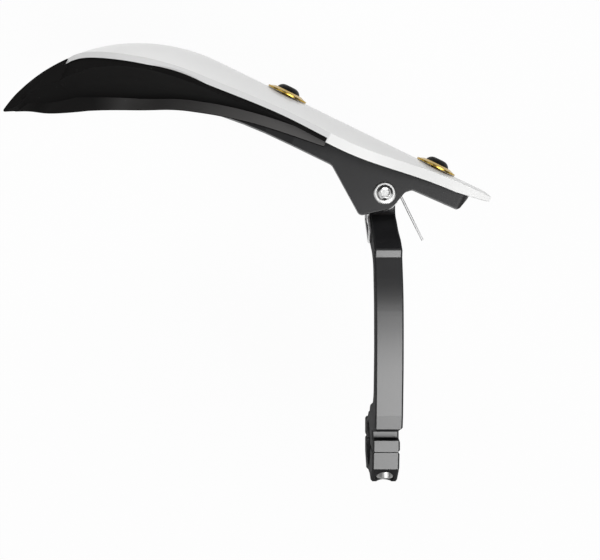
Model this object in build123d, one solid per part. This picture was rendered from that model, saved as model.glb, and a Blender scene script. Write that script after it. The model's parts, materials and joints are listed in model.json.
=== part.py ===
from build123d import *
import math
import os

# Motorcycle hand guard for the left end of a handlebar, in millimetres.
# Origin: centre of the handlebar bore of the clamp. +X runs along the bar towards
# the middle of the motorcycle, +Y points forward and +Z points up.

# Handlebar clamp
BAR_RADIUS = 11.1
ARM_WIDTH = 12.7
JAW_WALL = 5.4
JAW_HALF_HEIGHT = 21.5
JAW_TOP = 26.0
CLAMP_SPLIT_Y = 0.4
CLAMP_GAP = 0.7
CAP_DEPTH = 15.8
CAP_WALL = 2.8
CLAMP_BOLT_Z = 16.2
CLAMP_BOLT_RADIUS = 2.5
CLAMP_BOLT_LENGTH = 16.0
CLAMP_HEAD_RADIUS = 4.25
CLAMP_HEAD_HEIGHT = 5.0
CLAMP_HEAD_SEAT_Y = -8.0
CLAMP_SOCKET_FLATS = 4.0

# Arm
ARM_TOP = 41.0
STRAP_THICKNESS = 9.0
PIVOT_Y = 121.6
BARREL_HALF_HEIGHT = 6.0
STOP_NOSE_WIDTH = 5.0
STOP_NOSE_REACH = 12.0
EDGE_CHAMFER = 0.8

# Pivot
BOLT_RADIUS = 3.0
SLEEVE_RADIUS = 4.0
BUSH_RADIUS = 5.0
BUSH_FLANGE_RADIUS = 6.2
BUSH_FLANGE = 1.0
PIVOT_HEAD_RADIUS = 5.3
PIVOT_DOME_RADIUS = 3.8
PIVOT_FLANGE_HEIGHT = 1.2
PIVOT_DOME_HEIGHT = 2.6
PIVOT_SOCKET_FLATS = 4.0
NUT_FLATS = 10.0
NUT_HEIGHT = 6.0
WASHER_RADIUS = 6.0
WASHER_THICKNESS = 1.2
RUNNING_FIT = 0.05
SEAT_GAP = 0.1
HOLE_GAP = 0.3

# Return spring
WIRE_RADIUS = 0.6
COIL_RADIUS = ARM_WIDTH / 2 + WIRE_RADIUS + SEAT_GAP
COIL_TURNS = 3
SPRING_GAP = 0.3
LOOP_LEVEL = 11.0
LOOP_REACH = 23.5
LOOP_SLOPE = 58.0
LEG_LENGTH = 28.0
SHORT_LEG = 6.0
LEG_ANGLE = 26.0

# Shield carrier, in the guard's own plan frame: u runs along the shield towards the
# middle of the motorcycle, v points out of the shield's front, and the pivot is at 0, 0.
GUARD_ANGLE = -26.0
SWING = 15.0
CARRIER_HALF_HEIGHT = 17.0
EAR_THICKNESS = 4.5
CARRIER_PLATE_FRONT = 18.6
CARRIER_PLATE = 3.4
CARRIER_REAR = 1.5
LOWER_SETBACK = 5.5
CARRIER_OUTBOARD = -96.0
CARRIER_INBOARD = 37.0
TAIL_REAR = 8.3
RIB = 3.0
RIB_U = (-78.0, -50.0, -30.0)
STOP_GAP = 0.2
STOP_PAD = 2.95
STOP_WEB = 3.0

# Shield
SHIELD_FRONT = 23.9
SHIELD_WALL = 2.0
SHIELD_INBOARD = 46.0
BEND_START = -100.0
BEND_RADIUS = 86.4
BEND_ANGLE = 80.0
UPPER_SECTION_RADIUS = 50.0
LOWER_SECTION_RADIUS = 85.0
SHIELD_TOP = 36.5
SHIELD_BOTTOM = 50.0
FLANGE_WIDTH = 4.8
FLANGE_THICKNESS = 2.2
FLANGE_END = -35.2
LAYER_GAP = 0.1
TOP_EDGE = (
    (46, 19.8),
    (24, 21.4),
    (0, 28.2),
    (-20, 32.2),
    (-55, 32),
    (-105, 35.6),
    (-128, 34.2),
    (-146, 28.2),
    (-156, 21),
    (-165, 11),
)
RIM_LOW = (-129, -45)

# Liner
LINER_WALL = 2.0
SEAM = 0.3
TIP_VIEW = 50.0
LIP_INBOARD = 4.2
LIP_OUTBOARD = 7.0
LIP_THICKNESS = 2.4
LIP_SEAT = 0.3
LIP_LINE = (
    (-30, 19.8),
    (-50, 19.6),
    (-64, 17.9),
    (-76, 12.8),
    (-90, 2.8),
    (-106, -13.6),
    (-122, -30),
    (-138, -40.5),
    (-154, -35.5),
    (-165, -26),
    (-173, -14.5),
    (-177, -2.5),
    (-182, 5),
    (-188, 11),
)

# Shield screws
SCREW_U = (-63.0, 17.0)
SCREW_TILT = 10.0
SCREW_RADIUS = 2.5
SCREW_HEAD_RADIUS = 5.9
SCREW_HEAD_HEIGHT = 3.4
SCREW_SOCKET_FLATS = 3.0
SCREW_LENGTH = 12.5
CUP_RADIUS = 10.0
CUP_TOP_RADIUS = 6.9
CUP_HEIGHT = 1.8
CUP_FLANGE = 0.8
INSERT_RADIUS = 3.6
INSERT_LENGTH = 8.0
BOSS_RADIUS = 6.5
BOSS_LENGTH = 9.5

GUARD = Location((0, PIVOT_Y, 0), (0, 0, GUARD_ANGLE))
FAR = 250.0


def outline(*corners):
    """Closed face through the corners, each given as (a, b) or (a, b, corner radius)."""
    points = [corner[:2] for corner in corners]
    radii = [corner[2] if len(corner) > 2 else 0 for corner in corners]
    return make_face(FilletPolyline(*points, radius=radii, close=True))


def across(face):
    """Solid from a side view (forward, up), as wide as the arm and with chamfered edges."""
    solid = extrude(Plane.YZ * face, amount=ARM_WIDTH / 2, both=True)
    solid = chamfer(solid.faces().sort_by(Axis.X)[-1].edges(), EDGE_CHAMFER)
    return chamfer(solid.faces().sort_by(Axis.X)[0].edges(), EDGE_CHAMFER)


def upright(face, low, high):
    """Solid from a plan view, standing between two heights."""
    return extrude(Pos(0, 0, low) * face, amount=high - low)


def front_cut(face):
    """Solid from a front view (along the shield, up), deep enough to pass the whole guard."""
    return extrude(Plane.XZ * face, amount=FAR, both=True)


def rod(start, radius, length, direction):
    """Round rod that starts at a point and runs along a direction."""
    return extrude(Plane(origin=start, z_dir=direction) * Circle(radius), amount=length)


def hexagon(flats, low, high):
    return upright(RegularPolygon(flats / 2, 6, major_radius=False), low, high)


def ring(outer, inner, low, high):
    return upright(Circle(outer) - Circle(inner), low, high)


def dome_head(radius, height, flats):
    """Button head standing on z 0, with a hexagon socket."""
    edge = height * 0.25
    flat = flats * 0.62
    side = Polyline((flat, height), (0, height), (0, 0), (radius, 0), (radius, edge))
    crown = ThreePointArc((radius, edge), (radius * 0.82, height * 0.72), (flat, height))
    head = revolve(Plane.XZ * make_face([*side.edges(), crown]), axis=Axis.Z)
    return head - hexagon(flats, height * 0.4, height + 1)


# Clamp and arm


def mounting_arm():
    front = BAR_RADIUS + JAW_WALL
    under = ARM_TOP - STRAP_THICKNESS
    barrel = BARREL_HALF_HEIGHT
    split = CLAMP_SPLIT_Y + CLAMP_GAP / 2
    bolt_end = CLAMP_HEAD_SEAT_Y + CLAMP_BOLT_LENGTH
    profile = outline(
        (split, JAW_TOP),
        (5.9, JAW_TOP),
        (6.6, JAW_TOP - 5.4),
        (9.2, JAW_TOP - 5.4),
        (13.1, ARM_TOP - 4.6),
        (19.4, ARM_TOP - 3),
        (49, ARM_TOP, 220),
        (74, ARM_TOP - 1, 60),
        (90.8, ARM_TOP - 6, 0.8),
        (94.3, ARM_TOP - 5, 1.2),
        (99.5, ARM_TOP - 12, 8),
        (104.5, 19, 15),
        (109.3, barrel + 6, 10),
        (113, barrel, 4),
        (PIVOT_Y, barrel),
        (PIVOT_Y, -barrel),
        (107, -barrel, 3),
        (103, -3, 4),
        (93, 20, 15),
        (88, under - 5, 10),
        (70, under - 1, 40),
        (49, under, 60),
        (28, under - 3, 8),
        (24, under - 7, 5),
        (21, 10, 8),
        (front, 6, 3),
        (front, 1, 3),
        (bolt_end + 2, -10, 3),
        (bolt_end + 2, -JAW_HALF_HEIGHT),
        (split, -JAW_HALF_HEIGHT),
    )
    nose = Pos(0, PIVOT_Y + STOP_NOSE_REACH / 2) * Rectangle(STOP_NOSE_WIDTH, STOP_NOSE_REACH)
    arm = across(profile)
    arm += upright(Pos(0, PIVOT_Y) * Circle(ARM_WIDTH / 2), -barrel, barrel)
    arm += upright(nose, 1 - barrel, barrel - 1)
    arm -= Pos(0, PIVOT_Y, 0) * Cylinder(BUSH_RADIUS + RUNNING_FIT, 4 * barrel)
    arm -= rod((-ARM_WIDTH, 0, 0), BAR_RADIUS, 2 * ARM_WIDTH, (1, 0, 0))
    for z in (-CLAMP_BOLT_Z, CLAMP_BOLT_Z):
        arm -= rod((0, 0, z), CLAMP_BOLT_RADIUS + SEAT_GAP, bolt_end + 0.5, (0, 1, 0))
    return arm


def clamp_cap():
    face = CLAMP_SPLIT_Y - CLAMP_GAP / 2
    half = JAW_HALF_HEIGHT
    rear = -CAP_DEPTH
    waist = -BAR_RADIUS - CAP_WALL
    profile = outline(
        (face, half + 3),
        (rear / 2, half + 1.5),
        (rear, 13.5),
        (waist, 7, 6),
        (waist, -7, 6),
        (rear, -13.5),
        (rear / 2, -half),
        (face, -half),
    )
    cap = across(profile)
    cap -= rod((-ARM_WIDTH, 0, 0), BAR_RADIUS, 2 * ARM_WIDTH, (1, 0, 0))
    for z in (-CLAMP_BOLT_Z, CLAMP_BOLT_Z):
        cap -= rod((0, 1, z), CLAMP_BOLT_RADIUS + HOLE_GAP, 2 * CAP_DEPTH, (0, -1, 0))
        cap -= rod((0, CLAMP_HEAD_SEAT_Y, z), CLAMP_HEAD_RADIUS + HOLE_GAP, CAP_DEPTH, (0, -1, 0))
    return cap


def clamp_bolts():
    head = upright(Circle(CLAMP_HEAD_RADIUS), 0, CLAMP_HEAD_HEIGHT)
    head = chamfer(head.edges().sort_by(Axis.Z)[-1], 0.5)
    head -= hexagon(CLAMP_SOCKET_FLATS, CLAMP_HEAD_HEIGHT / 2, CLAMP_HEAD_HEIGHT + 1)
    bolt = Rot(90, 0, 0) * (head + upright(Circle(CLAMP_BOLT_RADIUS), -CLAMP_BOLT_LENGTH, 0))
    return Compound([Pos(0, CLAMP_HEAD_SEAT_Y, z) * bolt for z in (-CLAMP_BOLT_Z, CLAMP_BOLT_Z)])


# Pivot, with its axis at 0, 0


def pivot_bush():
    bore = SLEEVE_RADIUS + RUNNING_FIT
    top = BARREL_HALF_HEIGHT
    return ring(BUSH_RADIUS, bore, SEAT_GAP, top) + ring(BUSH_FLANGE_RADIUS, bore, top, top + BUSH_FLANGE)


def pivot_sleeve():
    half = CARRIER_HALF_HEIGHT - EAR_THICKNESS - SEAT_GAP
    return ring(SLEEVE_RADIUS, BOLT_RADIUS + SEAT_GAP, -half, half)


def pivot_bolt():
    top = CARRIER_HALF_HEIGHT
    tip = -CARRIER_HALF_HEIGHT - WASHER_THICKNESS - NUT_HEIGHT - 1.5
    flange = upright(Circle(PIVOT_HEAD_RADIUS), top, top + PIVOT_FLANGE_HEIGHT)
    flange = chamfer(flange.edges().sort_by(Axis.Z)[-1], 0.5)
    dome = dome_head(PIVOT_DOME_RADIUS, PIVOT_DOME_HEIGHT, PIVOT_SOCKET_FLATS)
    return flange + Pos(0, 0, top + PIVOT_FLANGE_HEIGHT) * dome + upright(Circle(BOLT_RADIUS), tip, top)


def pivot_washer():
    top = -CARRIER_HALF_HEIGHT
    return ring(WASHER_RADIUS, BOLT_RADIUS + SEAT_GAP, top - WASHER_THICKNESS, top)


def pivot_nut():
    top = -CARRIER_HALF_HEIGHT - WASHER_THICKNESS
    trim = upright(Circle(NUT_FLATS * 0.56), top - NUT_HEIGHT, top)
    trim = chamfer(trim.edges().filter_by(GeomType.CIRCLE), 0.5)
    nut = hexagon(NUT_FLATS, top - NUT_HEIGHT, top) & trim
    return nut - Pos(0, 0, top) * Cylinder(BOLT_RADIUS + SEAT_GAP, 4 * NUT_HEIGHT)


# Return spring, with the pivot at 0, 0: two coils joined by a loop that bears on the arm's
# outboard side, and a free leg from each coil that bears on the carrier


def spring_heights():
    low = BARREL_HALF_HEIGHT + BUSH_FLANGE + SPRING_GAP + WIRE_RADIUS
    high = CARRIER_HALF_HEIGHT - EAR_THICKNESS - SPRING_GAP - WIRE_RADIUS
    return low, high


def leg_frame():
    """Plan point where the free leg leaves its coil, and the leg's direction."""
    angle = math.radians(LEG_ANGLE)
    start = Vector(COIL_RADIUS * math.cos(angle), COIL_RADIUS * math.sin(angle), 0)
    return start, Vector(math.sin(angle), -math.cos(angle), 0)


def coil_with_leg(leg_length):
    low, high = spring_heights()
    turns = COIL_TURNS - 0.5 - LEG_ANGLE / 360
    helix = Helix((high - low) / turns, high - low, COIL_RADIUS, lefthand=True)
    helix = Pos(0, 0, low) * Rot(0, 0, 180) * helix
    coil = sweep(Plane(origin=helix @ 0, z_dir=helix % 0) * Circle(WIRE_RADIUS), path=helix, is_frenet=True)
    return coil + rod(helix @ 1, WIRE_RADIUS, leg_length, helix % 1), helix % 0


def spring_loop(start_slope):
    """Loop in the plane beside the arm: level at first, then rising, with a round end."""
    low, _ = spring_heights()
    slope = math.radians(LOOP_SLOPE)
    corner = low - LOOP_LEVEL * start_slope
    spread = corner * math.cos(slope)
    upper = LOOP_REACH - LOOP_LEVEL
    lower = upper + 2 * corner * math.sin(slope)
    points = [(0, low), (-LOOP_LEVEL, corner)]
    points.append((-LOOP_LEVEL - upper * math.cos(slope), corner + upper * math.sin(slope)))
    points.append((-LOOP_LEVEL - lower * math.cos(slope), -corner + lower * math.sin(slope)))
    points += [(-LOOP_LEVEL, -corner), (0, -low)]
    path = FilletPolyline(*points, radius=(3, 0.98 * spread, 0.98 * spread, 3))
    path = Plane.YZ.offset(-COIL_RADIUS) * path
    return sweep(Plane(origin=path @ 0, z_dir=path % 0) * Circle(WIRE_RADIUS), path=path)


def return_spring():
    upper, tangent = coil_with_leg(LEG_LENGTH)
    lower, _ = coil_with_leg(SHORT_LEG)
    loop = spring_loop(tangent.Z / tangent.Y)
    return Pos(0, PIVOT_Y, 0) * (upper + loop + mirror(lower, Plane.XY))


# Shield and liner share one curved section, carried along a straight and a bend


def shield_band(front, rear, extra=0.0):
    """Layer of the shield between two depths behind its front, with extra degrees at its edges."""
    upper = math.degrees(math.asin(SHIELD_TOP / UPPER_SECTION_RADIUS)) + extra
    lower = math.degrees(math.asin(SHIELD_BOTTOM / LOWER_SECTION_RADIUS)) + extra
    edges = []
    for depth in (front, rear):
        up = CenterArc((UPPER_SECTION_RADIUS, 0), UPPER_SECTION_RADIUS - depth, 180, -upper)
        down = CenterArc((LOWER_SECTION_RADIUS, 0), LOWER_SECTION_RADIUS - depth, 180, lower)
        edges.append((up, down))
    (front_up, front_down), (rear_up, rear_down) = edges
    top = Line(front_up @ 1, rear_up @ 1)
    bottom = Line(front_down @ 1, rear_down @ 1)
    return along_shield(make_face([front_up, front_down, rear_up, rear_down, top, bottom]))


def along_shield(section):
    """Solid of a section given as (depth behind the front, height), straight and then bent."""
    plane = Plane(origin=(SHIELD_INBOARD, SHIELD_FRONT, 0), x_dir=(0, -1, 0), z_dir=(-1, 0, 0))
    straight = SHIELD_INBOARD - BEND_START
    start = Pos(-straight, 0, 0) * (plane * section)
    axis = Axis((BEND_START, SHIELD_FRONT - BEND_RADIUS, 0), (0, 0, 1))
    return extrude(plane * section, amount=straight) + revolve(start, axis, BEND_ANGLE)


def shell_front(drop=0.0):
    """Front view of the white shell, lowered by a distance."""
    rim = Polyline(TOP_EDGE[-1], RIM_LOW, (-120, -47.5), (-95, -43), (SHIELD_INBOARD - 14, -17), TOP_EDGE[0])
    return Pos(0, -drop) * make_face([Spline(*TOP_EDGE), *rim.edges()])


def screw_places(depth):
    """Places square to the shield's front above its middle, looking out of it, at a depth behind the front."""
    tilt = math.radians(SCREW_TILT)
    radius = UPPER_SECTION_RADIUS - depth
    v = SHIELD_FRONT - UPPER_SECTION_RADIUS + radius * math.cos(tilt)
    z = radius * math.sin(tilt)
    out = (0, math.cos(tilt), math.sin(tilt))
    return [Plane(origin=(u, v, z), x_dir=(1, 0, 0), z_dir=out) for u in SCREW_U]


def shield_shell():
    shell = shield_band(0, SHIELD_WALL) & front_cut(shell_front())
    arc = CenterArc((UPPER_SECTION_RADIUS, 0), UPPER_SECTION_RADIUS, 180, -60)
    back = Pos(FLANGE_WIDTH, 0) * arc
    section = make_face([arc, back, Line(arc @ 0, back @ 0), Line(arc @ 1, back @ 1)])
    strip = shell_front() - shell_front(FLANGE_THICKNESS)
    strip &= Pos((SHIELD_INBOARD + FLANGE_END) / 2, 50) * Rectangle(SHIELD_INBOARD - FLANGE_END, 100)
    shell += along_shield(section) & front_cut(strip)
    shell -= upright(outline((28, 14.5), (SHIELD_INBOARD + 1, 18), (SHIELD_INBOARD + 1, 8), (28, 8)), 10, FAR)
    for place in screw_places(0):
        shell -= place * Cylinder(SCREW_RADIUS + HOLE_GAP, 6 * SHIELD_WALL)
    return shell


def liner_plan(inboard, outboard):
    """Plan line of the liner's inner wall, moved back by one distance inboard and one outboard."""
    start = (FLANGE_END - SEAM, 11.2 - inboard)
    bend = (-106, 4.2 - (inboard + outboard) / 2)
    knee = (-165.4 + 0.87 * outboard, -20 - 0.43 * outboard)
    tip = (-187, -46.6 - 0.06 * outboard)
    straight = Line(start, bend)
    curve = TangentArc(bend, knee, tangent=straight % 1)
    return [straight, curve, Line(knee, tip)]


def plan_strip(inboard_front, outboard_front, inboard_rear, outboard_rear):
    front = liner_plan(inboard_front, outboard_front)
    rear = liner_plan(inboard_rear, outboard_rear)
    ends = [Line(front[0] @ 0, rear[0] @ 0), Line(front[2] @ 1, rear[2] @ 1)]
    return upright(make_face([*front, *rear, *ends]), -FAR, FAR)


def above_lip(drop, height):
    """Front view of a strip that follows the lip, from a drop below its top upwards."""
    low = Pos(0, -drop) * Spline(*LIP_LINE)
    high = Pos(0, height) * low
    return front_cut(make_face([low, high, Line(low @ 0, high @ 0), Line(low @ 1, high @ 1)]))


def tip_front():
    """Front view of the liner beyond the white shell, before its end is shaped."""
    return outline((-152, 0), (-161, 11.5), (-190, 11.5), (-190, -60), (-140, -60), (-124, -42))


def liner_front():
    """Front view of the liner's skin: a lap behind the white shell and the tip beyond it."""
    lap = outline(
        (FLANGE_END - SEAM, 60),
        (-172, 60),
        (-172, -60),
        (-112, -60),
        (-114, -40),
        (-146, 10, 12),
        (-126, 23, 8),
        (FLANGE_END - SEAM, 21),
    )
    return (lap & shell_front() & shell_front(1)) + tip_front()


def tip_side():
    """Outline of the liner's tip in a view turned towards it, where it ends in a point."""
    return outline(
        (FAR, 80),
        (-108, 80),
        (-108, 24),
        (-122, 11.8),
        (-143, 10, 20),
        (-153, 7, 1.5),
        (-142, -4, 12),
        (-134, -17, 12),
        (-122.5, -29, 15),
        (-109, -38, 15),
        (-92, -44.5, 15),
        (-72, -47, 5),
        (-50, -80),
        (FAR, -80),
    )


def inboard_of_rim():
    """Front view of everything inboard of the white shell's slanting rim, with the seam left open."""
    low = Vector(*RIM_LOW)
    along = Vector(*TOP_EDGE[-1]) - low
    low -= Vector(SEAM, 0)
    above = low + along * 2
    below = low - along
    return outline((above.X, above.Y), (below.X, below.Y), (FAR, below.Y), (FAR, above.Y))


def ahead_of_lip():
    """Everything in front of the lip's rear line, carried on past the tip."""
    line = liner_plan(LIP_INBOARD, LIP_OUTBOARD)[-1]
    knee = line @ 0
    end = knee + (line @ 1 - knee) * 1.5
    return upright(outline((FAR, knee.Y), (knee.X, knee.Y), (end.X, end.Y), (end.X, FAR), (FAR, FAR)), -FAR, FAR)


def shield_liner():
    gap = SHIELD_WALL + LAYER_GAP
    rear = gap + LINER_WALL
    rebate = shield_band(-5, gap, 5) & front_cut(inboard_of_rim())
    point = Rot(0, 0, TIP_VIEW) * front_cut(tip_side())
    skin = (shield_band(0, rear) & front_cut(liner_front()) & point & ahead_of_lip()) - rebate
    inside = shield_band(gap + LINER_WALL / 2, UPPER_SECTION_RADIUS * 0.8) & ahead_of_lip()
    wall = plan_strip(-LINER_WALL, -3 * LINER_WALL, 0, 0) & above_lip(LIP_THICKNESS, FAR)
    wall &= front_cut(shell_front(1) + tip_front())
    lip = plan_strip(-LINER_WALL, -LINER_WALL, LIP_INBOARD, LIP_OUTBOARD) & above_lip(LIP_THICKNESS, LIP_THICKNESS)
    return (wall & inside) + (lip & inside) + skin


# Carrier between the pivot and the shield


def ear_plan():
    return outline(
        (CARRIER_OUTBOARD, CARRIER_REAR),
        (-28.5, CARRIER_REAR, 4),
        (-5.9, -14.5, 2.6),
        (6.2, -4.9, 7),
        (8.6, 5.0, 4),
        (11.4, TAIL_REAR - 0.7, 2.5),
        (CARRIER_INBOARD - 2, TAIL_REAR + 0.3, 1.5),
        (CARRIER_INBOARD, 16),
        (CARRIER_INBOARD, CARRIER_PLATE_FRONT),
        (CARRIER_OUTBOARD, CARRIER_PLATE_FRONT),
    )


def lower_plan():
    """Plan of everything under the upper ear, set back so that the ear covers it."""
    rear = CARRIER_REAR + LOWER_SETBACK
    tail = TAIL_REAR + LOWER_SETBACK - 1
    return outline(
        (CARRIER_OUTBOARD, rear),
        (-23, rear, 4),
        (-8, -6.5, 4),
        (5.9, -5.5, 6),
        (8.6, 5.0, 4),
        (11.4, tail, 2.5),
        (CARRIER_INBOARD - 4.5, tail, 1.5),
        (CARRIER_INBOARD, CARRIER_PLATE_FRONT),
        (CARRIER_OUTBOARD, CARRIER_PLATE_FRONT),
    )


def carrier_side():
    """Front view of the carrier. Its top follows the underside of the liner's lip."""
    drop = LIP_THICKNESS + LIP_SEAT
    under_lip = [(u, z - drop) for u, z in LIP_LINE[1:5]]
    end = under_lip[-1][1] - (under_lip[-1][0] - CARRIER_OUTBOARD) - 0.5
    return outline(
        (CARRIER_INBOARD, CARRIER_HALF_HEIGHT, 4),
        (FLANGE_END, CARRIER_HALF_HEIGHT),
        *under_lip,
        (CARRIER_OUTBOARD, end),
        (CARRIER_OUTBOARD + 6, -CARRIER_HALF_HEIGHT, 3),
        (CARRIER_INBOARD, -CARRIER_HALF_HEIGHT, 4),
    )


def block(x_low, x_high, y_low, y_high, half_height):
    """Box in the arm's directions, with the pivot at 0, 0."""
    plan = Pos((x_low + x_high) / 2, (y_low + y_high) / 2) * Rectangle(x_high - x_low, y_high - y_low)
    return upright(plan, -half_height, half_height)


def rest_stop():
    """Block that the spring holds against the side of the arm's nose."""
    face = -STOP_NOSE_WIDTH / 2 - STOP_GAP
    return Rot(0, 0, -GUARD_ANGLE) * block(face - 6, face, STOP_NOSE_REACH - 3.4, STOP_NOSE_REACH + 10, 8)


def swing_stop():
    """Web under the upper ear that meets the arm's side at the end of the swing."""
    face = -ARM_WIDTH / 2 - STOP_GAP
    clear = -COIL_RADIUS - WIRE_RADIUS - SPRING_GAP
    inner = CARRIER_HALF_HEIGHT - EAR_THICKNESS
    pad = BARREL_HALF_HEIGHT + BUSH_FLANGE - 0.5
    web = block(face - STOP_PAD, face, -8, -3.5, pad)
    web += block(face - STOP_PAD, clear, -8, -3.5, inner + 1)
    web += block(clear - STOP_WEB, clear, -8, -3.5, inner + 1) & upright(Rectangle(FAR, FAR), 2, FAR)
    return Rot(0, 0, -GUARD_ANGLE - SWING) * web


def leg_seat():
    """Lug under the upper ear that the free leg of the spring bears on."""
    start, along = leg_frame()
    side = Vector(along.Y, -along.X, 0)
    middle = start + along * 4.5 + side * (WIRE_RADIUS + SEAT_GAP + 0.8)
    top = CARRIER_HALF_HEIGHT - EAR_THICKNESS
    plan = Pos(middle.X, middle.Y) * Rot(0, 0, -90 + LEG_ANGLE) * Rectangle(4, 1.6)
    return Rot(0, 0, -GUARD_ANGLE) * upright(plan, top - 1.2, top + 1)


def boss_depth():
    """Depth behind the shield's front of a boss that just clears the hollow side of the shell."""
    return SHIELD_WALL + LAYER_GAP + BOSS_RADIUS**2 / (2 * UPPER_SECTION_RADIUS)


def shield_carrier():
    half = CARRIER_HALF_HEIGHT
    plate_rear = CARRIER_PLATE_FRONT - CARRIER_PLATE
    ears = upright(ear_plan(), -half, half)
    top_wall = carrier_side() - Pos(0, -EAR_THICKNESS) * carrier_side()
    solid = (ears & front_cut(top_wall)) + (upright(lower_plan(), -half, half) & front_cut(carrier_side()))
    behind_plate = upright(Pos(0, plate_rear - FAR) * Rectangle(2 * FAR, 2 * FAR), -half, half)
    hollow = front_cut(offset(carrier_side(), -EAR_THICKNESS)) & behind_plate
    for u in RIB_U:
        hollow -= upright(Pos(u, 0) * Rectangle(RIB, 2 * FAR), -half, half)
    carrier = solid - hollow
    seat = leg_seat()
    stop = swing_stop() & upright(Rectangle(FAR, FAR), -BARREL_HALF_HEIGHT, FAR)
    inward = ears & (rest_stop() + stop + seat + mirror(seat, Plane.XY))
    carrier += inward & upright(Pos(0, plate_rear + 1 - FAR) * Rectangle(2 * FAR, 2 * FAR), -half, half)
    for place in screw_places(boss_depth()):
        carrier += place * upright(Circle(BOSS_RADIUS), -BOSS_LENGTH, 0)
    for place in screw_places(boss_depth()):
        carrier -= place * upright(Circle(INSERT_RADIUS + SEAT_GAP), -INSERT_LENGTH, BOSS_LENGTH)
        carrier -= place * upright(Circle(SCREW_RADIUS + HOLE_GAP), -2 * BOSS_LENGTH, BOSS_LENGTH)
    return carrier - Cylinder(BOLT_RADIUS + SEAT_GAP, 4 * half)


# Screws that hold the shield, each on the shield's front and pointing out of it


def shield_screws():
    screw = dome_head(SCREW_HEAD_RADIUS, SCREW_HEAD_HEIGHT, SCREW_SOCKET_FLATS)
    screw += upright(Circle(SCREW_RADIUS), -SCREW_LENGTH, 0)
    return Compound([place * screw for place in screw_places(-LAYER_GAP - CUP_FLANGE)])


def cup_washers():
    bore = SCREW_RADIUS + HOLE_GAP
    inner = SCREW_HEAD_RADIUS + HOLE_GAP
    profile = Polyline(
        (bore, 0),
        (CUP_RADIUS, 0),
        (CUP_RADIUS, CUP_FLANGE),
        (CUP_RADIUS - 1, CUP_FLANGE + 0.2),
        (CUP_TOP_RADIUS, CUP_HEIGHT),
        (inner + 0.2, CUP_HEIGHT),
        (inner, CUP_FLANGE),
        (bore, CUP_FLANGE),
        close=True,
    )
    cup = revolve(Plane.XZ * make_face(profile), axis=Axis.Z)
    return Compound([place * cup for place in screw_places(-LAYER_GAP)])


def screw_inserts():
    insert = ring(INSERT_RADIUS, SCREW_RADIUS + SEAT_GAP, -INSERT_LENGTH, 0)
    return Compound([place * insert for place in screw_places(boss_depth())])


def main():
    bush = pivot_bush()
    at_pivot = Pos(0, PIVOT_Y, 0)
    nodes = {
        "mounting_arm": mounting_arm(),
        "clamp_cap": clamp_cap(),
        "clamp_bolts": clamp_bolts(),
        "upper_bush": at_pivot * bush,
        "lower_bush": at_pivot * mirror(bush, Plane.XY),
        "pivot_sleeve": at_pivot * pivot_sleeve(),
        "pivot_bolt": at_pivot * pivot_bolt(),
        "pivot_washer": at_pivot * pivot_washer(),
        "pivot_nut": at_pivot * pivot_nut(),
        "return_spring": return_spring(),
        "shield_carrier": GUARD * shield_carrier(),
        "shield_shell": GUARD * shield_shell(),
        "shield_liner": GUARD * shield_liner(),
        "shield_screws": GUARD * shield_screws(),
        "cup_washers": GUARD * cup_washers(),
        "screw_inserts": GUARD * screw_inserts(),
    }
    os.makedirs("parts", exist_ok=True)
    for name, shape in nodes.items():
        export_step(shape, f"parts/{name}.step")


main()
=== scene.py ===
"""Looks of the sprung hand guard: finishes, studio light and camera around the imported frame."""

import json

import bpy
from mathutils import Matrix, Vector


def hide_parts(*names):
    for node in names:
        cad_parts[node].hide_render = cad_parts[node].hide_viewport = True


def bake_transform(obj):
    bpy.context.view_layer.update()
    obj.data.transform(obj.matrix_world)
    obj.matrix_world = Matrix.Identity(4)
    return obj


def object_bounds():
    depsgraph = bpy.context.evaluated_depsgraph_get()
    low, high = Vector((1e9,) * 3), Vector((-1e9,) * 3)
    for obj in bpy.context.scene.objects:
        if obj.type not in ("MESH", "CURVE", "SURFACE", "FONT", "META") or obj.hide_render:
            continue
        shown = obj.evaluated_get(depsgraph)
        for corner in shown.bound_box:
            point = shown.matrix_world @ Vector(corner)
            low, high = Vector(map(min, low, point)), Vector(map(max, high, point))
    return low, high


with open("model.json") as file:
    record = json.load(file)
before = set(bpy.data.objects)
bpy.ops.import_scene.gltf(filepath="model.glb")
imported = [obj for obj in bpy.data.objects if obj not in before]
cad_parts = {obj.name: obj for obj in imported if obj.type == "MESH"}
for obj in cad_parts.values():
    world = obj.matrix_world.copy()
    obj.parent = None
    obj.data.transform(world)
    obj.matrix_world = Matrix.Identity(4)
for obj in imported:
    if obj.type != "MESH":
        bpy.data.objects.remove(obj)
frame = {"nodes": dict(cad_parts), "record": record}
cad_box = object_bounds()
nodes = frame["nodes"]

# Camera of the photograph: straight above, with its focal length in pixels of a frame 600 wide
CAMERA_PLACE = (-0.0401, 0.0805, 0.420)
FOCAL_PIXELS = 850.0
FRAME_WIDTH = 600.0
SENSOR_WIDTH = 36.0

# Shield: directions along it and out of its front, and how far along it the turned edge ends
SHIELD_RUN = (0.8988, -0.4384, 0.0)
SHIELD_FACE = (0.4384, 0.8988, 0.0)
TURNED_EDGE_END = -0.0885
TURNED_EDGE_FADE = 0.001

# Where a mask begins and where it is full, by how far a face's normal points up, or for the cut edge
# by how far it points out of the shield's front
COATED_FACE = (0.66, 0.82)
LIP_FACE = (0.20, 0.45)
RIM_FACE = (0.3, 0.5)
CUT_EDGE = (0.30, 0.15)

# Liner's lip: it lies below a plane that falls towards the tip, and its painted light is weaker near
# the tip
LIP_PLANE_SLOPE = 0.17
LIP_PLANE_ABOVE = 0.034
LIP_PLANE_BELOW = 0.032
LIP_FULL_LIGHT_X = -0.085
LIP_TIP_X = -0.150
LIP_TIP_LIGHT = 0.05

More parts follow.
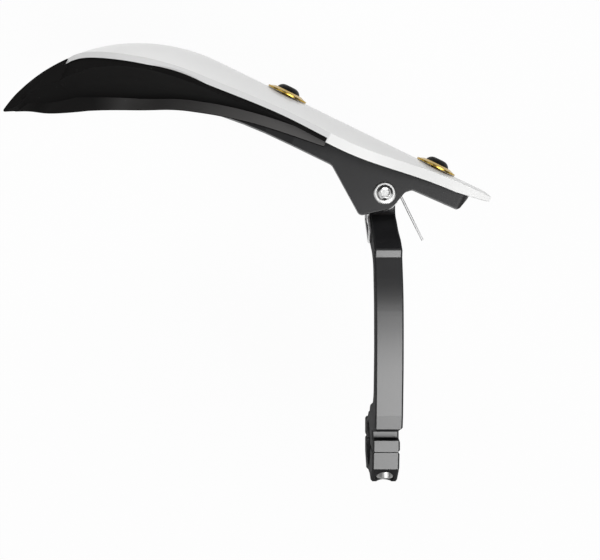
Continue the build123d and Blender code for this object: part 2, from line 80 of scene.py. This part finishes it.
# Studio: the part hangs from its clamp above a wide floor, which is whiter far away
FLOOR_DROP = 0.10
FLOOR_HALF = 4.0
FLOOR_COLOUR = (0.90, 0.90, 0.90)
FLOOR_NEAR = 0.4
FLOOR_FAR = 1.4
FLOOR_NEAR_WHITE = 0.93

# World: even light, and what reflections see: a white horizon, a dark room, a bright patch overhead
EVEN_LIGHT = (0.20, 0.20, 0.205)
HORIZON_LOW = 0.06
HORIZON_HIGH = 0.16
ROOM_LEVEL = 0.12
OVERHEAD = (0.28, -0.06, 1.0)
OVERHEAD_EDGE = 0.90
OVERHEAD_MIDDLE = 0.99

# Grain: how much of its height is pebbles, and the range of the slow unevenness that is used
PEBBLE_SHARE = 0.7
SLOW_RANGE = (0.3, 0.7)
GRAIN_STRENGTH = 0.5

# Rubbed edges: how far the softened normal leaves the face's own, and where noise lets them show
EDGE_TURN = (0.975, 0.86)
EDGE_SAMPLES = 6
RUBBED_PATCHES = (0.45, 0.62)

# Handling: smears and their tint on the metals, dust specks, and the patches that have specks
SMEAR_CLOUD = (0.42, 0.72)
SMEAR_TINT = 0.35
DUST = (0.45, 0.43, 0.40)
SPECK_SIZE = (0.12, 0.05)
SPECK_PATCH_SCALE = 160.0
SPECK_PATCHES = (0.60, 0.68)

# Drawn lines: noise stretched along Y, and the ranges of it that tint the metal and streak its gloss
LINE_STRETCH = (6.0, 0.25, 6.0)
LINE_TINT = (0.35, 0.65)
LINE_STREAK = (0.3, 0.7)
LINE_STRENGTH = 0.3


# Small helpers for node trees


def link(tree, source, target):
    """A link from one socket to another."""
    tree.links.new(source, target)


def add(tree, kind, **settings):
    """A new node with its settings."""
    node = tree.nodes.new(kind)
    for name, value in settings.items():
        setattr(node, name, value)
    return node


def values(node, **sockets):
    """Plain values on a node's sockets, whose names have _ for each space."""
    for name, value in sockets.items():
        node.inputs[name.replace("_", " ")].default_value = value
    return node


def math_node(tree, operation, first, second, clamp=False):
    """A Math node of links or numbers, and its result."""
    node = add(tree, "ShaderNodeMath", operation=operation, use_clamp=clamp)
    for socket, value in zip(node.inputs, (first, second)):
        if isinstance(value, (int, float)):
            socket.default_value = value
        else:
            link(tree, value, socket)
    return node.outputs[0]


def times(tree, first, second):
    """The product of two links or numbers."""
    return math_node(tree, "MULTIPLY", first, second)


def mix_colour(tree, factor, first, second):
    """A mix of two colours, each a link or three numbers.

    The Mix node repeats its sockets for each kind of data: 6 and 7 take colours, and 2 gives one.
    """
    node = add(tree, "ShaderNodeMix", data_type="RGBA")
    link(tree, factor, node.inputs[0])
    for socket, value in ((node.inputs[6], first), (node.inputs[7], second)):
        if isinstance(value, tuple):
            socket.default_value = (*value, 1.0)
        else:
            link(tree, value, socket)
    return node.outputs[2]


def spread(tree, value, low, high, to_low=0.0, to_high=1.0):
    """The value carried from one range to another and held at its ends."""
    node = add(tree, "ShaderNodeMapRange")
    link(tree, value, node.inputs["Value"])
    values(node, From_Min=low, From_Max=high, To_Min=to_low, To_Max=to_high)
    return node.outputs["Result"]


def along(tree, vector, direction):
    """How far a vector reaches in a direction, which is a link or three numbers."""
    node = add(tree, "ShaderNodeVectorMath", operation="DOT_PRODUCT")
    link(tree, vector, node.inputs[0])
    if isinstance(direction, bpy.types.NodeSocket):
        link(tree, direction, node.inputs[1])
    else:
        node.inputs[1].default_value = direction
    return node.outputs["Value"]


def split(tree, vector):
    """The X, Y and Z of a vector, by name."""
    node = add(tree, "ShaderNodeSeparateXYZ")
    link(tree, vector, node.inputs[0])
    return node.outputs


def place(tree):
    """Coordinates of the piece itself, which move with it."""
    return add(tree, "ShaderNodeTexCoord").outputs["Object"]


def face_normal(tree):
    """The face's own normal, without smoothing or bump."""
    return add(tree, "ShaderNodeNewGeometry").outputs["True Normal"]


def noise(tree, vector, scale, detail, rough=0.5):
    """Noise over the piece, at a scale that is a link or a number."""
    node = add(tree, "ShaderNodeTexNoise")
    link(tree, vector, node.inputs["Vector"])
    values(node, Detail=detail, Roughness=rough)
    if isinstance(scale, (int, float)):
        node.inputs["Scale"].default_value = scale
    else:
        link(tree, scale, node.inputs["Scale"])
    return node.outputs["Fac"]


def cells(tree, vector, scale, feature):
    """Distances within the cells of a Voronoi pattern."""
    node = add(tree, "ShaderNodeTexVoronoi", feature=feature)
    link(tree, vector, node.inputs["Vector"])
    link(tree, scale, node.inputs["Scale"])
    return node.outputs["Distance"]


def new_group(name, inputs, outputs):
    """An empty node group with number inputs (name: default) and outputs (name: kind)."""
    group = bpy.data.node_groups.new(name, "ShaderNodeTree")
    for key, default in inputs.items():
        socket = group.interface.new_socket(key, in_out="INPUT", socket_type="NodeSocketFloat")
        socket.default_value = default
    for key, kind in outputs.items():
        group.interface.new_socket(key, in_out="OUTPUT", socket_type=f"NodeSocket{kind}")
    return group, add(group, "NodeGroupInput").outputs, add(group, "NodeGroupOutput").inputs


# Effects that several finishes share


def make_moulded_grain():
    """Fine pebbled grain of a moulded or powder-coated surface, with a slow unevenness."""
    sizes = {"Scale": 2500.0, "Slow Scale": 60.0}
    group, given, result = new_group("moulded_grain", sizes, {"Height": "Float", "Slow": "Float"})
    where = place(group)
    pebbles = cells(group, where, given["Scale"], "SMOOTH_F1")
    fine = noise(group, where, given["Scale"], detail=2.0)
    height = math_node(group, "ADD", times(group, pebbles, PEBBLE_SHARE), fine)
    link(group, height, result["Height"])
    link(group, noise(group, where, given["Slow Scale"], detail=4.0, rough=0.6), result["Slow"])
    return group


def make_edge_wear():
    """Where edges are rubbed, broken up by noise, and the normal softened over those edges."""
    sizes = {"Width": 0.0006, "Break": 900.0}
    group, given, result = new_group("edge_wear", sizes, {"Wear": "Float", "Normal": "Vector"})
    soft = add(group, "ShaderNodeBevel", samples=EDGE_SAMPLES)
    link(group, given["Width"], soft.inputs["Radius"])
    edge = spread(group, along(group, soft.outputs["Normal"], face_normal(group)), *EDGE_TURN)
    patches = noise(group, place(group), given["Break"], detail=4.0, rough=0.65)
    link(group, times(group, edge, spread(group, patches, *RUBBED_PATCHES)), result["Wear"])
    link(group, soft.outputs["Normal"], result["Normal"])
    return group


def make_handling():
    """Faint dust and finger smears: a soft cloud and fine specks."""
    sizes = {"Cloud Scale": 35.0, "Speck Scale": 700.0}
    group, given, result = new_group("handling", sizes, {"Smear": "Float", "Speck": "Float"})
    where = place(group)
    cloud = noise(group, where, given["Cloud Scale"], detail=5.0, rough=0.65)
    link(group, spread(group, cloud, *SMEAR_CLOUD), result["Smear"])
    lone = spread(group, cells(group, where, given["Speck Scale"], "F1"), *SPECK_SIZE)
    sparse = spread(group, noise(group, where, SPECK_PATCH_SCALE, detail=2.0), *SPECK_PATCHES)
    link(group, times(group, lone, sparse), result["Speck"])
    return group


def make_drawn_lines():
    """Fine lines left by drawing, brushing or turning, along the piece's Y."""
    group, given, result = new_group("drawn_lines", {"Scale": 400.0}, {"Line": "Float"})
    stretched = add(group, "ShaderNodeMapping")
    stretched.inputs["Scale"].default_value = LINE_STRETCH
    link(group, place(group), stretched.inputs["Vector"])
    lines = noise(group, stretched.outputs["Vector"], given["Scale"], detail=3.0, rough=0.6)
    link(group, lines, result["Line"])
    return group


GRAIN = make_moulded_grain()
WEAR = make_edge_wear()
HANDLING = make_handling()
LINES = make_drawn_lines()


# Finishes


def new_finish(name, **sockets):
    """A material with a Principled BSDF whose even values are set on its own sockets."""
    material = bpy.data.materials.new(name)
    material.use_nodes = True
    shader = material.node_tree.nodes["Principled BSDF"]
    values(shader, **sockets)
    return material, material.node_tree, shader


def use(tree, group, **sockets):
    """A shared effect in a material, and its outputs."""
    return values(add(tree, "ShaderNodeGroup", node_tree=group), **sockets).outputs


def bump(tree, shader, height, distance, strength, normal):
    """Height on the shader's normal, over a softened normal."""
    node = add(tree, "ShaderNodeBump")
    values(node, Distance=distance, Strength=strength)
    link(tree, height, node.inputs["Height"])
    link(tree, normal, node.inputs["Normal"])
    link(tree, node.outputs["Normal"], shader.inputs["Normal"])


def moulded(
    name,
    colour,
    rubbed,
    rough,
    grain,
    depth,
    width=0.0006,
    specular=0.5,
    shade=0.82,
    specks=0.25,
    worn=0.55,
    uneven=0.04,
):
    """Moulded plastic or powder coat with grain, a slow tint, rubbed edges and faint dust.

    rubbed is the colour of rubbed edges, and width is how far edges are rounded. grain and depth
    are the grain's fineness and height. shade is the darker tint's share of the colour, worn and
    specks are how far rubbing and dust show, and uneven is how much the roughness changes.
    """
    material, tree, shader = new_finish(name, Specular_IOR_Level=specular)
    grained = use(tree, GRAIN, Scale=grain)
    wear = use(tree, WEAR, Width=width)
    dust = use(tree, HANDLING)
    darker = tuple(shade * c for c in colour)
    base = mix_colour(tree, spread(tree, grained["Slow"], *SLOW_RANGE), darker, colour)
    base = mix_colour(tree, times(tree, wear["Wear"], worn), base, rubbed)
    base = mix_colour(tree, times(tree, dust["Speck"], specks), base, DUST)
    link(tree, base, shader.inputs["Base Color"])
    slow = spread(tree, grained["Slow"], *SLOW_RANGE, rough - uneven, rough + uneven)
    smeared = math_node(tree, "ADD", slow, times(tree, dust["Smear"], uneven))
    link(tree, smeared, shader.inputs["Roughness"])
    bump(tree, shader, grained["Height"], depth, GRAIN_STRENGTH, wear["Normal"])
    return material


def metal(name, colour, tint, rough, scale, width=0.0004, lines=0.08, depth=0.00001):
    """Bare or plated metal with drawn lines, a slow tint and smoothed edges.

    scale and depth are the lines' fineness and height, lines is how much they change the
    roughness, and width is how far edges are rounded.
    """
    material, tree, shader = new_finish(name, Metallic=1.0)
    line = use(tree, LINES, Scale=scale)["Line"]
    wear = use(tree, WEAR, Width=width)
    dust = use(tree, HANDLING)
    base = mix_colour(tree, spread(tree, line, *LINE_TINT), tint, colour)
    base = mix_colour(tree, times(tree, dust["Smear"], SMEAR_TINT), base, tint)
    link(tree, base, shader.inputs["Base Color"])
    streaks = spread(tree, line, *LINE_STREAK, rough - lines / 2, rough + lines)
    link(tree, streaks, shader.inputs["Roughness"])
    bump(tree, shader, line, depth, LINE_STRENGTH, wear["Normal"])
    return material


def repaint(material, mask, colour):
    """Another colour over a finish, where a mask says so."""
    tree = material.node_tree
    socket = tree.nodes["Principled BSDF"].inputs["Base Color"]
    link(tree, mix_colour(tree, mask, socket.links[0].from_socket, colour), socket)


def coat_upper(material, rough, index):
    """A smooth hard coat on the faces that look up; steeper ones stay as matt as their powder."""
    tree = material.node_tree
    shader = tree.nodes["Principled BSDF"]
    values(shader, Coat_Roughness=rough, Coat_IOR=index)
    level = spread(tree, split(tree, face_normal(tree))["Z"], *COATED_FACE)
    link(tree, level, shader.inputs["Coat Weight"])


def lip_mask(tree):
    """Mask of the painted light: 1 on the lip's faces that look up, below the liner's upper edge,
    less towards the tip.
    """
    spot = split(tree, place(tree))
    plane = times(tree, spot["X"], LIP_PLANE_SLOPE)
    height = math_node(tree, "SUBTRACT", spot["Z"], plane)
    below = spread(tree, height, LIP_PLANE_ABOVE, LIP_PLANE_BELOW)
    # the painted light on the lip is full inboard and fades to a small share at the tip
    rubbed = spread(tree, spot["X"], LIP_TIP_X, LIP_FULL_LIGHT_X, LIP_TIP_LIGHT, 1.0)
    upper = spread(tree, split(tree, face_normal(tree))["Z"], *LIP_FACE)
    return times(tree, times(tree, upper, rubbed), below)


def paint_lip_light(material, colour, weight, rough):
    """Painted light: the liner's lip faces that look up are painted a lighter grey, and get a
    smoother coat than the matt wall.
    """
    tree = material.node_tree
    shader = tree.nodes["Principled BSDF"]
    values(shader, Coat_Roughness=rough)
    lip = lip_mask(tree)
    repaint(material, lip, colour)
    link(tree, times(tree, lip, weight), shader.inputs["Coat Weight"])


def paint_rim_shade(material, colour):
    """Painted shade: the trimmed top of the shell's wall, outboard of its turned edge, is painted a
    greyer white.
    """
    tree = material.node_tree
    normal = face_normal(tree)
    reach = along(tree, place(tree), SHIELD_RUN)
    outboard = spread(tree, reach, TURNED_EDGE_END + TURNED_EDGE_FADE, TURNED_EDGE_END)
    square_cut = spread(tree, along(tree, normal, SHIELD_FACE), *CUT_EDGE)
    upper = spread(tree, split(tree, normal)["Z"], *RIM_FACE)
    repaint(material, times(tree, outboard, times(tree, square_cut, upper)), colour)


# Moulded and powder-coated finishes; the glossy white shows no rubbed edges
MOULDED = {
    "arm_black": dict(
        colour=(0.014, 0.014, 0.015),
        rubbed=(0.16, 0.16, 0.165),
        rough=0.70,
        grain=3200.0,
        depth=0.00002,
        specular=0.10,
    ),
    "carrier_black": dict(
        colour=(0.015, 0.015, 0.016),
        rubbed=(0.05, 0.05, 0.05),
        rough=0.40,
        grain=1800.0,
        depth=0.00004,
    ),
    "liner_black": dict(
        colour=(0.011, 0.0107, 0.0105),
        rubbed=(0.03, 0.03, 0.03),
        rough=0.75,
        grain=1400.0,
        depth=0.00002,
        specular=0.01,
    ),
    "screw_black": dict(
        colour=(0.010, 0.0092, 0.009),
        rubbed=(0.05, 0.045, 0.04),
        rough=0.45,
        grain=3000.0,
        depth=0.00001,
        width=0.0004,
        specular=0.12,
    ),
    "shell_white": dict(
        colour=(0.86, 0.86, 0.85),
        rubbed=(0.86, 0.86, 0.85),
        rough=0.28,
        grain=2200.0,
        depth=0.00001,
        width=0.0,
        shade=0.985,
        specks=0.03,
        worn=0.0,
        uneven=0.008,
    ),
}

# Metals; the spring's wire and the gold cups show hardly any drawn lines
METALS = {
    "zinc_steel": dict(colour=(0.80, 0.80, 0.79), tint=(0.70, 0.70, 0.70), rough=0.28, scale=500.0),
    "dull_zinc": dict(colour=(0.42, 0.42, 0.41), tint=(0.32, 0.32, 0.32), rough=0.42, scale=500.0),
    "bronze": dict(colour=(0.45, 0.25, 0.10), tint=(0.30, 0.15, 0.06), rough=0.40, scale=300.0),
    "brass": dict(colour=(0.60, 0.44, 0.16), tint=(0.45, 0.31, 0.10), rough=0.32, scale=500.0),
    "spring_steel": dict(
        colour=(0.90, 0.90, 0.90),
        tint=(0.86, 0.86, 0.86),
        rough=0.55,
        scale=120.0,
        width=0.00003,
        lines=0.02,
        depth=0.0,
    ),
    "cup_gold": dict(
        colour=(0.56, 0.38, 0.07),
        tint=(0.44, 0.28, 0.05),
        rough=0.24,
        scale=300.0,
        width=0.0002,
        lines=0.03,
        depth=0.0,
    ),
}

# Nodes whose finish differs from the rest of their slot
OWN_FINISH = {"clamp_bolts": "dull_zinc"}


def make_finishes():
    """Every finish by its name."""
    finishes = {name: moulded(name, **look) for name, look in MOULDED.items()}
    finishes.update({name: metal(name, **look) for name, look in METALS.items()})
    coat_upper(finishes["arm_black"], rough=0.37, index=1.79)
    # Painted light: the liner's lip faces that look up are painted a lighter grey
    paint_lip_light(finishes["liner_black"], colour=(0.115, 0.112, 0.110), weight=0.6, rough=0.38)
    # Painted shade: the white shell's trimmed rim is painted a greyer white
    paint_rim_shade(finishes["shell_white"], colour=(0.66, 0.66, 0.655))
    return finishes


def dress(finishes):
    """Each node gets the finish of its slot, or one of its own."""
    slots = {entry["node"]: entry["material_slot"] for entry in frame["record"]["subparts"]}
    for name, piece in nodes.items():
        piece.data.materials.clear()
        piece.data.materials.append(finishes[OWN_FINISH.get(name, slots[name])])


def wind_spring():
    """The spring winds up in use; here its wire is a copy of the CAD spring, shown in place of the
    hidden original.
    """
    wire = bpy.data.objects.new("spring_wire", nodes["return_spring"].data.copy())
    bpy.context.scene.collection.objects.link(wire)
    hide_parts("return_spring")
    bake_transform(wire)


# Studio


def seen_ray(tree):
    """1 for rays that show the background: straight to the camera, or by way of metal or glass."""
    path = add(tree, "ShaderNodeLightPath").outputs
    mirrored = math_node(tree, "ADD", path["Is Camera Ray"], path["Is Glossy Ray"], clamp=True)
    return math_node(tree, "ADD", mirrored, path["Is Transmission Ray"], clamp=True)


def mix_seen(tree, seen, lit, shown, kind):
    """The surface of a world or material: one shader for light, another where it is seen."""
    mix = add(tree, "ShaderNodeMixShader")
    link(tree, seen, mix.inputs[0])
    link(tree, lit.outputs[0], mix.inputs[1])
    link(tree, shown.outputs[0], mix.inputs[2])
    link(tree, mix.outputs[0], add(tree, kind).inputs["Surface"])


def make_floor(level):
    """Pale floor that stays white to the eye and in reflections, and keeps the soft shadow."""
    side = FLOOR_HALF
    corners = [(-side, -side, 0), (side, -side, 0), (side, side, 0), (-side, side, 0)]
    mesh = bpy.data.meshes.new("floor")
    mesh.from_pydata(corners, [], [(0, 1, 2, 3)])
    floor = bpy.data.objects.new("floor", mesh)
    floor.location = (0, 0, level)
    bpy.context.scene.collection.objects.link(floor)
    material = bpy.data.materials.new("floor_white")
    material.use_nodes = True
    tree = material.node_tree
    tree.nodes.clear()
    matt = values(add(tree, "ShaderNodeBsdfDiffuse"), Color=(*FLOOR_COLOUR, 1.0))
    white = add(tree, "ShaderNodeEmission")
    distance = add(tree, "ShaderNodeVectorMath", operation="LENGTH")
    link(tree, place(tree), distance.inputs[0])
    whiter = spread(
        tree, distance.outputs["Value"], FLOOR_NEAR, FLOOR_FAR, FLOOR_NEAR_WHITE, 1.0
    )
    seen = times(tree, seen_ray(tree), whiter)
    mix_seen(tree, seen, matt, white, "ShaderNodeOutputMaterial")
    mesh.materials.append(material)


def make_world():
    """Dim even light; in reflections a white horizon, a dark room and a bright patch overhead."""
    world = bpy.data.worlds.new("studio")
    bpy.context.scene.world = world
    world.use_nodes = True
    tree = world.node_tree
    tree.nodes.clear()
    even = values(add(tree, "ShaderNodeBackground"), Color=(*EVEN_LIGHT, 1.0))
    shown = add(tree, "ShaderNodeBackground")
    direction = add(tree, "ShaderNodeTexCoord").outputs["Generated"]
    height = split(tree, direction)["Z"]
    horizon = spread(tree, height, HORIZON_LOW, HORIZON_HIGH, 1.0, ROOM_LEVEL)
    near = along(tree, direction, Vector(OVERHEAD).normalized())
    overhead = spread(tree, near, OVERHEAD_EDGE, OVERHEAD_MIDDLE)
    mirrored = math_node(tree, "MAXIMUM", horizon, overhead)
    camera = add(tree, "ShaderNodeLightPath").outputs["Is Camera Ray"]
    link(tree, math_node(tree, "MAXIMUM", mirrored, camera), shown.inputs["Color"])
    mix_seen(tree, seen_ray(tree), even, shown, "ShaderNodeOutputWorld")


def softbox(name, position, aim, size, power):
    """A rectangular lamp that looks at a point."""
    lamp = bpy.data.lights.new(name, "AREA")
    lamp.shape = "RECTANGLE"
    lamp.size, lamp.size_y = size
    lamp.energy = power
    holder = bpy.data.objects.new(name, lamp)
    holder.location = position
    turn = (Vector(aim) - Vector(position)).to_track_quat("-Z", "Y")
    holder.rotation_euler = turn.to_euler()
    bpy.context.scene.collection.objects.link(holder)
    return holder


def make_lights():
    """Three softboxes, the front one without a reflection, and a card that is only reflected."""
    softbox(
        "key", position=(0.24, -0.28, 1.00), aim=(0.0, 0.04, 0.0), size=(0.64, 0.62), power=7.6
    )
    softbox(
        "fill", position=(-0.75, 0.16, 0.70), aim=(-0.08, 0.15, 0.0), size=(0.60, 0.90), power=1.6
    )
    front = softbox(
        "front", position=(-0.20, 0.92, 0.66), aim=(-0.05, 0.14, 0.0), size=(0.80, 0.50), power=4.2
    )
    front.visible_glossy = False
    card = softbox(
        "rear_card", position=(0.15, -0.68, 0.86), aim=(0.0, 0.0, 0.03), size=(0.60, 0.22), power=2.5
    )
    card.visible_diffuse = False


def make_camera():
    """The photograph's camera, which looks straight down with forward at the top."""
    data = bpy.data.cameras.new("camera")
    data.sensor_width = SENSOR_WIDTH
    data.lens = FOCAL_PIXELS / FRAME_WIDTH * SENSOR_WIDTH
    data.clip_start = 0.01
    camera = bpy.data.objects.new("camera", data)
    camera.location = CAMERA_PLACE
    bpy.context.scene.collection.objects.link(camera)
    bpy.context.scene.camera = camera


dress(make_finishes())
wind_spring()
make_floor(cad_box[0].z - FLOOR_DROP)
make_world()
make_lights()
make_camera()
bpy.context.scene.view_settings.view_transform = "Standard"
